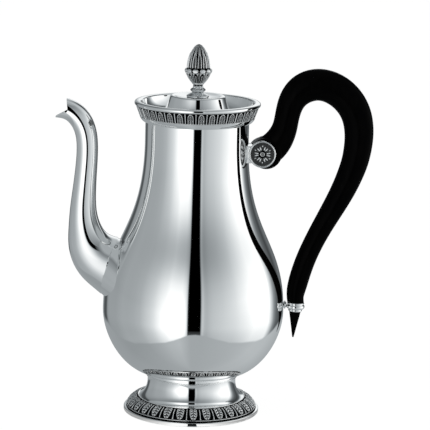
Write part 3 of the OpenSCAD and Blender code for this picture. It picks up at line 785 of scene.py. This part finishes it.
def ovals(r, q, start, at, side, tilt, length, width):
    """Six tilted ovals around the rosette's centre: 1 in their middle and 0 at their edge."""
    turn = (q + start) % (math.pi / 3) - math.pi / 6
    x, y = r * np.cos(turn) - at, r * np.sin(turn) - side
    a = x * math.cos(tilt) + y * math.sin(tilt)
    b = y * math.cos(tilt) - x * math.sin(tilt)
    return ridge(np.hypot(a / length, b / width), 1.0)


def rosette_height(r, q):
    """Six double petals with small tips between them, a centre boss and a raised ring."""
    field = 0.3 + 0.06 * np.cos(q * 48) * np.cos(r * 60)
    petals = [ovals(r, q, math.pi / 6, 0.43, side * 0.08, side * 0.22, 0.198, 0.077)
              for side in (-1, 1)]
    tips = ovals(r, q, 0, 0.6, 0, 0, 0.1, 0.06)
    boss = swell(0.2 - r, 0.05)
    moat = swell(0.29 - r, 0.02) * (1 - boss)
    h = np.maximum.reduce([field * (1 - moat), *petals, 0.85 * tips, 0.66 * boss])
    return np.where(r > 0.85, np.maximum(ridge(r - 0.92, 0.085), 0.1), h)


def rosette(name, near):
    """A rosette plate on the scroll, over an end of the pin."""
    radii, steps = np.linspace(0, 1, 57), 144
    q = np.arange(steps) * 2 * math.pi / steps
    grid_q, grid_r = np.meshgrid(q, radii, indexing="ij")
    h = np.clip(rosette_height(grid_r, grid_q), 0, 1)
    top = ROSETTE_T - ROSETTE_DEPTH * (1 - h)
    top[:, -1] = ROSETTE_T - ROSETTE_DEPTH
    # After the face come the foot's edge and the foot's centre.
    r = np.concatenate([ROSETTE_R * radii, [ROSETTE_R - 0.2, 0]])
    relief = np.hstack([h, np.full((steps, 2), 0.9)])
    relief[:, len(radii) - 1] = 0.95
    disc = piece(name, around(q, r, np.hstack([top, np.zeros((steps, 2))])),
                 lathe_faces(len(r), steps, True, True), relief=relief.ravel(), sharp=60)
    turn_across(disc, (ROSETTE_X, -SCROLL_T / 2, ROSETTE_Z))
    if not near:
        disc.data.flip_normals()
        with_corners(disc, corners(disc) * [1, -1, 1])
    return disc


def ferrule():
    half, low, bore = FERRULE_H / 2, FERRULE_R - 2.4, TENON_R + 0.05
    return lean(turned("handle_ring", [[bore, -half], [low, -half]],
                       arc([low, 0.8 - half], 0.8, -90, 65, 8),
                       arc([FERRULE_R - 1.8, 0.2], 1.8, -65, 65, 14),
                       arc([FERRULE_R - 1.1, half - 0.7], 0.7, -40, 90, 8), [bore, half],
                       steps=96))


def ferrule_link():
    length = FERRULE_X - FERRULE_R - BELLY_R
    bulge, neck = length * 0.2, LINK_R * 0.6
    knob = turned("ring_button", [[0, -0.35], [LINK_R - 0.5, -0.35], [LINK_R - 0.5, length * 0.1],
                                  [neck, length * 0.25]],
                  arc([LINK_R - bulge, length / 2], bulge, -90, 90),
                  [[neck, length * 0.75], [LINK_R - 0.8, length], [0, length + 0.3]], steps=48)
    return moved(knob, 90, (BELLY_R, 0, LINK_Z))


# ======== lid and finial ========

def lid_shell():
    """The lip inside the rim, a dished flange, a hollow rise and a crown with a sunk middle."""
    r, z, low = LID_TOP_R, LID_EDGE_Z, SEAT_Z + FLANGE_T
    dish = bend([MOUTH_R - 0.9, RIM_Z - 0.85], [MOUTH_R - 1.9, RIM_Z - 6], [FLANGE_R - 2.4, low],
                [FLANGE_R - 7.5, low], 28)
    side = bend([FLANGE_R - 7.5, low], [r + 4.6, low], [r + 2, z - 7], [r + 0.2, z - 1.2], 40)
    edge = bend([r + 0.2, z - 1.2], [r, z - 0.4], [r - 0.5, z], [r - 1.5, z], 10)
    hollow = bend([r - 1.5, z], [r - 3.5, z], [FINIAL_FOOT_R + 4, CROWN_Z],
                  [FINIAL_FOOT_R - 0.9, CROWN_Z], 20)
    inside = [[0, CROWN_Z], [0, CROWN_Z - WALL], [r - 2.4, CROWN_Z - WALL]]
    under = bend([r - 1.1, LID_TOP_Z - LID_CROWN - 1.4], [r + 1.3, LID_TOP_Z - 6.6],
                 [r + 4.6, SEAT_Z], [FLANGE_R - 5, SEAT_Z], 24)
    return turned("lid_raised", [[SLEEVE_R - 2, SEAT_Z], [FLANGE_R - 0.1, SEAT_Z]],
                  arc([MOUTH_R - 0.62, RIM_Z - 0.8], 0.28, -10, 190, 8), dish, side, edge, hollow,
                  inside, under, steps=256, sharp=40)


def finial_foot():
    r, z = FINIAL_FOOT_R, CROWN_Z
    return turned("bud_foot", [[0, z - 0.6], [r - 1.2, z - 0.3]],
                  arc([r - 0.75, z + 0.75], 0.75, -100, 55, 12),
                  bend([r - 0.4, z + 1.4], [r - 2.2, z + 2.5], [STEM_R + 1.4, KNOP_Z - 0.6],
                       [STEM_R + 0.5, KNOP_Z + 0.1], 12), [0, KNOP_Z + 0.1], steps=96)


def knop_facet(u, v):
    """A flat facet, softly edged, and a bead on the neck above it."""
    half = math.pi / FACETS[1]
    facet = 1 - (1 / np.cos(half) - 1 / np.cos(u * half)) * 4.5
    return np.where(v > 0.72, 0.4 + 0.6 * ridge(u, 1.0), facet)


def finial_knop():
    front = np.array([[STEM_R + 0.4, 0], [KNOP_R - 0.3, 0.22], [KNOP_R, 0.33],
                      [KNOP_R - 0.05, 0.42], [KNOP_R - 1.1, 0.62], [STEM_R + 0.35, 0.74],
                      [STEM_R + 0.5, 0.86], [STEM_R, 1]]) * [1, KNOP_H] + [0, KNOP_Z]
    back = [[0, KNOP_Z + KNOP_H], [0, KNOP_Z]]
    return band("bud_knop", through(front, 4, 1), back, knop_facet, SOFT_SHADED_SILVER, *FACETS, sharp=40)


def lobe(u, v):
    """A lobed leaf of the cup: raised sides around a tongue, under a rounded curl."""
    side = ridge(np.abs(u) - 0.72, 0.17) * swell(0.78 - v, 0.05)
    arch = ridge(np.hypot(u / 0.72, np.clip(v - 0.5, 0, None) / 0.22) - 1, 0.2) * (v > 0.5)
    tongue = ridge(u, 0.22) * swell(0.6 - v, 0.06)
    curl = swell(1 - np.hypot(u / 0.96, (v - 0.85) / 0.18), 0.3)
    bead = ridge(v - 0.05, 0.06)
    return np.maximum.reduce([0.85 * side, 0.8 * arch, 0.85 * tongue, curl, bead])


def finial_cup():
    top = CUP_Z + CUP_H
    front = chain(bend([STEM_R + 0.2, CUP_Z + 0.4], [CUP_R * 0.62, CUP_Z + CUP_H * 0.22],
                       [CUP_R * 0.86, CUP_Z + CUP_H * 0.5], [CUP_R - 0.1, top - 2.2], 46),
                  arc([CUP_R - 1.5, top - 1.5], 1.5, -15, 95, 12))
    back = [[CONE_R - 1, CONE_Z - 0.6], [0, CONE_Z], [0, CUP_Z], [STEM_R, CUP_Z]]
    return band("bud_cup", front, back, lobe, BUD_SILVER, *LOBES)


def scale_row(u, v, low, high):
    """One lancet scale: raised edges that meet in a point, around a hollow."""
    t = (v - low) / (high - low)
    inside = np.where((t >= -0.05) & (t <= 1), 0.8 * taper(t, 0.35) - np.abs(u), -1)
    edge = ridge(inside - 0.22, 0.23)
    hollow = 0.33 * swell(inside - 0.2, 0.12)
    return np.maximum(edge, hollow) * (inside > 0.02)


def scales(u, v):
    """Two rows of lancet scales, the upper row in the gaps of the lower, and a tip."""
    other = (u + 2) % 2 - 1
    lower = scale_row(u, v, 0.0, 0.58)
    upper = scale_row(other, v, 0.3, 0.9) * 0.72
    last = (0.42 + 0.2 * np.cos(2 * math.pi * u)) * swell(v - 0.55, 0.05)
    height = np.where(lower > 0.02, lower, np.where(upper > 0.02, upper, last))
    return height * swell(v - 0.015, 0.02)


def finial_cone():
    top = CONE_Z + CONE_H
    front = bend([CONE_R, CONE_Z], [CONE_R, CONE_Z + CONE_H / 2], [CONE_R * 0.44, top],
                 [0, top], 72)
    back = [[0, CONE_Z - 0.2], [CONE_R - 2, CONE_Z - 0.2]]
    return band("bud_scales", front, back, scales, BUD_SILVER, *SCALES)


# ======== the pot put together ========

PLAIN, SOFT_AND_SHADED = ("polished_silver", SILVER), ("polished_silver", SOFT_SHADED_SILVER)
WORKED, BUD = ("oxidised_silver", CHASED), ("oxidised_silver", BUD_SILVER)
ROSETTE, WOOD = ("oxidised_silver", ROSETTE_SILVER), ("ebony", EBONY)

for thing, body, (slot, material), *nodes in (
        (body_shell(), "pot", PLAIN, "body_bowl", "body_shoulder", "body_neck"),
        (neck_moulding(), "pot", PLAIN, "neck_moulding"),
        (rim_frieze(), "pot", WORKED, "rim_frieze"),
        (rim_wire(), "pot", PLAIN, "rim_wire"),
        (foot_shell(), "pot", PLAIN, "foot_shell"),
        (foot_moulding(), "pot", PLAIN, "foot_moulding"),
        (foot_frieze(), "pot", WORKED, "foot_frieze"),
        (base_ring(), "pot", PLAIN, "base_ring"),
        (spout(), "pot", PLAIN, "spout"),
        (handle(), "pot", WOOD, "handle"),
        (handle_bracket(), "pot", PLAIN, "handle_bracket"),
        (rosette("rosette_near", True), "pot", ROSETTE, "rosette_front"),
        (rosette("rosette_far", False), "pot", ROSETTE, "rosette_rear"),
        (ferrule(), "pot", PLAIN, "ferrule"),
        (ferrule_link(), "pot", PLAIN, "ferrule_link"),
        (lid_shell(), "lid", PLAIN, "lid_shell"),
        (finial_foot(), "lid", SOFT_AND_SHADED, "finial_foot"),
        (finial_knop(), "lid", SOFT_AND_SHADED, "finial_knop"),
        (finial_cup(), "lid", BUD, "finial_cup"),
        (finial_cone(), "lid", BUD, "finial_cone")):
    # A chased band has this same material from its node tree already.
    dress(thing, material)
    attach(thing, body)
    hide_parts(*nodes)

# The CAD nodes that stay get the metal of the inside.
for node in ("handle_pin", "lid_sleeve", "finial_screw", "finial_nut"):
    dress(frame["nodes"][node], INNER)


# ======== studio ========

TENT_R = 8.0
FLOOR_HALF, FLOOR_Z, SHEET_Z = 14.0, -0.0006, -0.0004
# The near sheet is mirrored by silver within this range, and the other one by silver beyond it.
SHEET_RANGE = 0.02
# To the left and right the sheets lose light between these distances, down to this share.
FADE_FROM, FADE_TO, FADE_LEFT = 0.014, 0.04, 0.4


def staged(name, mesh, material, *rays):
    """A thing of the studio, which is no part of the pot and which only the named rays see."""
    thing = placed(name, mesh)
    mesh.materials.append(material)
    material.cycles.emission_sampling = "NONE"
    thing.visible_camera, thing.visible_diffuse = "camera" in rays, "diffuse" in rays
    thing.visible_glossy, thing.visible_shadow = "glossy" in rays, "shadow" in rays
    thing.visible_transmission = thing.visible_volume_scatter = False


def flat_mesh(name, points, faces):
    mesh = bpy.data.meshes.new(name)
    mesh.from_pydata(points, [], faces)
    return mesh


def glowing(name):
    """An empty material for a thing that only shines into mirrors."""
    material, tree, _ = new_material(name)
    tree.nodes.clear()
    return material, tree


def output(tree, shader):
    add(tree, "ShaderNodeOutputMaterial", {"Surface": shader})


def position(tree):
    """X, Y and Z of the place that a ray hits."""
    place = tree.nodes.new("ShaderNodeNewGeometry").outputs["Position"]
    return add(tree, "ShaderNodeSeparateXYZ", {0: place}).outputs


def ramp(tree, source, stops, limit, peak=1.0):
    """Light over an angle from -limit to limit, in degrees, from stops of (angle, light)."""
    node = add(tree, "ShaderNodeValToRGB", {0: source})
    elements = node.color_ramp.elements
    while len(elements) > 1:
        elements.remove(elements[-1])
    for i, (angle, light) in enumerate(stops):
        at = (angle + limit) / (2 * limit)
        e = elements[0] if i == 0 else elements.new(at)
        e.position = at
        e.color = (light / peak, light / peak, light / peak, 1)
    return node.outputs[0]


# Lists of (angle, light). A bearing is 0 in front of the pot (-Y) and grows towards +X, and a
# height is 0 at the horizon.
PEAK = 1.3
# Around the pot: the grey cloth, the open slit ahead and the lamp on the right.
AROUND = [(-166, .42), (-160, .24), (-155, .09), (-145, .08), (-139, .3), (-134, .34),
          (-115, .335), (-100, .38), (-60, .385), (-10, .40), (-6.6, .40), (-5.6, 0), (9.9, 0),
          (11.1, .46), (12.8, .62), (14.8, .49), (18, .475), (22, .53), (26, .57), (38, .64),
          (50, .75), (56, .82), (62, .93), (68, 1.02), (74, 1.12), (86, 1.3), (112, 1.3),
          (119, .75), (125, .33), (132, .15), (144, .06), (160, .2)]
UP = [(-90, .75), (-36, .78), (-22, .9), (-12, 1.0), (-4, 1.0), (4, .96), (12, .9), (20, .81),
      (28, .69), (36, .56), (46, .47), (60, .42), (90, .4)]
# The lamp on the left, which ends sooner at the top.
LEFT_LAMP = [(-90, 0), (-80, .02), (-70, .07), (-60, .21), (-55, .28), (-50, .38), (-45, .54),
             (-40, .68), (-35, .8), (-30, 1.0), (-14, 1.0), (-9.5, .78), (-6.6, .3), (-5.6, 0)]
LEFT_UP = [(-90, .5), (-36, .55), (-22, .82), (-12, 1.0), (-4, 1.0), (4, .86), (12, .72),
           (20, .58), (28, .37), (36, .17), (46, .04), (60, 0)]
# The grey cloth on the left is lighter low down and again higher up.
LEFT_CLOTH = [(-150, 0), (-115, .09), (-30, .09), (-12, .03), (-6.6, 0)]
LEFT_CLOTH_UP = [(-34, 1), (-24, .5), (-12, .2), (0, 0), (12, .35), (28, 1), (42, .9), (60, 0)]
# How much weaker the lamp on the right is towards the table.
RIGHT_LAMP = [(38, 0), (50, .35), (62, .8), (74, 1), (130, 1), (140, 0)]
RIGHT_LOW = [(-34, .24), (-26, .2), (-20, .17), (-12, .15), (-5, .08), (3, 0)]
# The slit closes towards the table, and again overhead.
SLIT_FOOT = [(-30, .08), (-24, .055), (-19, .035), (-16, 0)]
OVERHEAD = [(40, 0), (62, .4)]
# Behind the pot: dark below the horizon and white above it.
BEHIND = [(-180, 1), (-174, 0), (152, 0), (162, 1)]
BACK_WALL = [(-24, .38), (-19, .3), (-14, .13), (3, .16), (8, .95), (24, .95), (40, .5),
             (90, .4)]
# Where the table starts, as an angle below the horizon, how softly, and its grey.
STEEPEST, EDGE_SOFT = 90, 2.5
TABLE_EDGE = [(-180, 12), (-144, 17), (-134, 22), (-127, 26), (-113, 32), (-94, 37.5),
              (-64, 39.5), (-39, 38), (-25, 34), (-15, 29.5), (-5, 24), (4, 23), (12, 24),
              (32, 31), (54, 36), (74, 35.5), (101, 32), (113, 28.5), (127, 22.6), (137, 18.4),
              (150, 14), (180, 12)]
TABLE = [(-180, .36), (-134, .343), (-111, .32), (-89, .327), (-69, .345), (-50, .405),
         (-33, .48), (-18, .51), (-2, .4), (13, .4), (28, .415), (45, .43), (61, .445), (80, .475),
         (100, .52), (124, .51), (147, .45), (180, .38)]
# Straight below, the table is one even grey.
TABLE_MIDDLE, TABLE_EVEN = .4, [(-90, 1), (-72, .6), (-56, .3), (-42, 0)]
# Red, green and blue: the share that dim light has, and what bright light adds to it.
TINTS = (0.89, 0.1), (0.98, 0.02), (1.03, -0.03)


def light_tent():
    """A large tent of pale cloth with one open slit, which only the silver mirrors."""
    mesh = bpy.data.meshes.new("light tent")
    shell = bmesh.new()
    bmesh.ops.create_uvsphere(shell, u_segments=64, v_segments=32, radius=TENT_R)
    bmesh.ops.reverse_faces(shell, faces=shell.faces)
    shell.to_mesh(mesh)
    shell.free()
    material, tree = glowing("tent cloth")

    def product(a, b):
        return maths(tree, "MULTIPLY", a, b)

    def blend(share, a, b):
        rest = maths(tree, "SUBTRACT", 1, share)
        return maths(tree, "ADD", product(a, rest), product(b, share))

    x, y, z = position(tree)
    turn = maths(tree, "ARCTAN2", x, product(y, -1))
    turn = maths(tree, "ADD", maths(tree, "DIVIDE", turn, 2 * math.pi), 0.5)
    height = maths(tree, "ARCSINE", maths(tree, "DIVIDE", z, TENT_R))
    rise = maths(tree, "ADD", maths(tree, "DIVIDE", height, math.pi), 0.5)

    def bearing(stops, peak=1.0):
        return ramp(tree, turn, stops, 180, peak)

    def up(stops):
        return ramp(tree, rise, stops, 90)

    cloth = product(bearing(AROUND, PEAK), up(UP))
    weaker = product(bearing(RIGHT_LAMP), up(RIGHT_LOW))
    cloth = product(cloth, maths(tree, "SUBTRACT", 1, weaker))
    light = maths(tree, "MULTIPLY_ADD", cloth, PEAK, product(bearing(LEFT_LAMP), up(LEFT_UP)))
    light = maths(tree, "MULTIPLY_ADD", bearing(LEFT_CLOTH), up(LEFT_CLOTH_UP), light)
    for closing in (SLIT_FOOT, OVERHEAD):
        light = maths(tree, "MAXIMUM", light, up(closing))
    light = blend(bearing(BEHIND), light, up(BACK_WALL))
    edge = product(bearing(TABLE_EDGE, STEEPEST), -STEEPEST)
    below = maths(tree, "MULTIPLY_ADD", height, -180 / math.pi, edge)
    below = maths(tree, "MULTIPLY_ADD", below, 1 / EDGE_SOFT, 0.5, clamp=True)
    light = blend(below, light, blend(up(TABLE_EVEN), bearing(TABLE), TABLE_MIDDLE))

    # Grey cloth is a little cooler than the lamps.
    white = maths(tree, "SUBTRACT", light, 0.1, clamp=True)
    tint = add(tree, "ShaderNodeCombineColor", {
        i: product(light, maths(tree, "MULTIPLY_ADD", white, more, dim))
        for i, (dim, more) in enumerate(TINTS)})
    glow = add(tree, "ShaderNodeEmission", {"Color": tint.outputs[0]})
    output(tree, glow.outputs[0])
    staged("light tent", mesh, material, "glossy")


def base_sheet(name, radii, gap, bright, near):
    """A flat ring around the base, open over the gap in front, which only the silver mirrors.
    radii are in metres, and the gap's two angles in degrees."""
    n, first, last = 120, math.radians(gap[1]), math.radians(360 + gap[0])
    q = first + (last - first) * np.arange(n + 1) / n - math.pi / 2
    points = around(q, np.array(radii), SHEET_Z).tolist()
    material, tree = glowing(name)
    side = maths(tree, "ABSOLUTE", position(tree)["X"])
    strength = ranged(tree, side, FADE_FROM, FADE_TO, bright, bright * FADE_LEFT)
    glow = add(tree, "ShaderNodeEmission", {"Strength": strength})
    clear = tree.nodes.new("ShaderNodeBsdfTransparent")
    ray = tree.nodes.new("ShaderNodeLightPath").outputs["Ray Length"]
    seen = maths(tree, "LESS_THAN" if near else "GREATER_THAN", ray, SHEET_RANGE)
    mix = add(tree, "ShaderNodeMixShader", {0: seen, 1: clear.outputs[0], 2: glow.outputs[0]})
    output(tree, mix.outputs[0])
    faces = [(2 * k, 2 * k + 1, 2 * k + 3, 2 * k + 2) for k in range(n)]
    staged(name, flat_mesh(name, points, faces), material, "glossy")


def direct_view(tree):
    """1 for what the camera, the metal's mirror or glass sees, 0 for light that falls on things."""
    ray = tree.nodes.new("ShaderNodeLightPath").outputs
    seen = maths(tree, "ADD", ray["Is Camera Ray"], ray["Is Glossy Ray"], clamp=True)
    return maths(tree, "ADD", seen, ray["Is Transmission Ray"], clamp=True)


def floor():
    """A plain white floor: a shaded one for light, and an almost even white for the eye."""
    points = [(x * FLOOR_HALF, y * FLOOR_HALF, FLOOR_Z)
              for x, y in ((-1, -1), (1, -1), (1, 1), (-1, 1))]
    material, tree, shader = new_material("white floor")
    fill(tree, shader, {"Base Color": (0.9, 0.9, 0.9, 1), "Roughness": 0.9,
                        "Specular IOR Level": 0})
    white = add(tree, "ShaderNodeEmission", {"Strength": 1.03})
    share = maths(tree, "MULTIPLY", direct_view(tree), 0.93)
    mix = add(tree, "ShaderNodeMixShader", {0: share, 1: shader.outputs[0], 2: white.outputs[0]})
    fill(tree, tree.nodes["Material Output"], {"Surface": mix.outputs[0]})
    staged("floor", flat_mesh("floor", points, [(0, 1, 2, 3)]), material,
           "camera", "diffuse", "shadow")


def world():
    sky = bpy.data.worlds.new("soft white room")
    sky.use_nodes = True
    tree = sky.node_tree
    fill(tree, tree.nodes["Background"], {
        "Color": (1, 1, 1, 1), "Strength": ranged(tree, direct_view(tree), 0, 1, 0.7, 1.0)})
    bpy.context.scene.world = sky


def aimed(name, data, place, aim):
    """A lamp or camera that looks from its place at aim."""
    thing = placed(name, data)
    thing.location = place
    thing.rotation_euler = (Vector(aim) - Vector(place)).to_track_quat("-Z", "Y").to_euler()
    return thing


def soft_lamp(name, place, size, power):
    """A broad lamp aimed at the middle of the pot. The silver mirrors the tent and not the lamp."""
    data = bpy.data.lights.new(name, "AREA")
    data.shape, data.size, data.energy = "DISK", size, power
    aimed(name, data, place, (0, 0, 0.12)).visible_glossy = False


def camera(aim, distance, tilt, roll, lens):
    """A distant camera. Its tilt and roll are in degrees."""
    data = bpy.data.cameras.new("camera")
    data.sensor_width, data.lens = 36, lens
    q = math.radians(tilt)
    place = Vector(aim) + distance * Vector((0, -math.cos(q), math.sin(q)))
    eye = aimed("camera", data, place, aim)
    eye.rotation_euler.rotate_axis("Z", math.radians(roll))
    bpy.context.scene.camera = eye


light_tent()
base_sheet("white paper", radii=(0.0472, 0.064), gap=(-2.2, 6.3), bright=1.0, near=True)
base_sheet("contact shade", radii=(0.0478, 0.0502), gap=(0, 0), bright=0.02, near=False)
floor()
world()
soft_lamp("key lamp", place=(-1.1, -1.2, 1.6), size=1.2, power=14)
soft_lamp("fill lamp", place=(1.4, -0.9, 1.2), size=1.4, power=8)
camera(aim=(0.01383, 0, 0.14026), distance=1.7, tilt=10.9283, roll=1.3789, lens=203.89)
bpy.context.scene.view_settings.view_transform = "Standard"
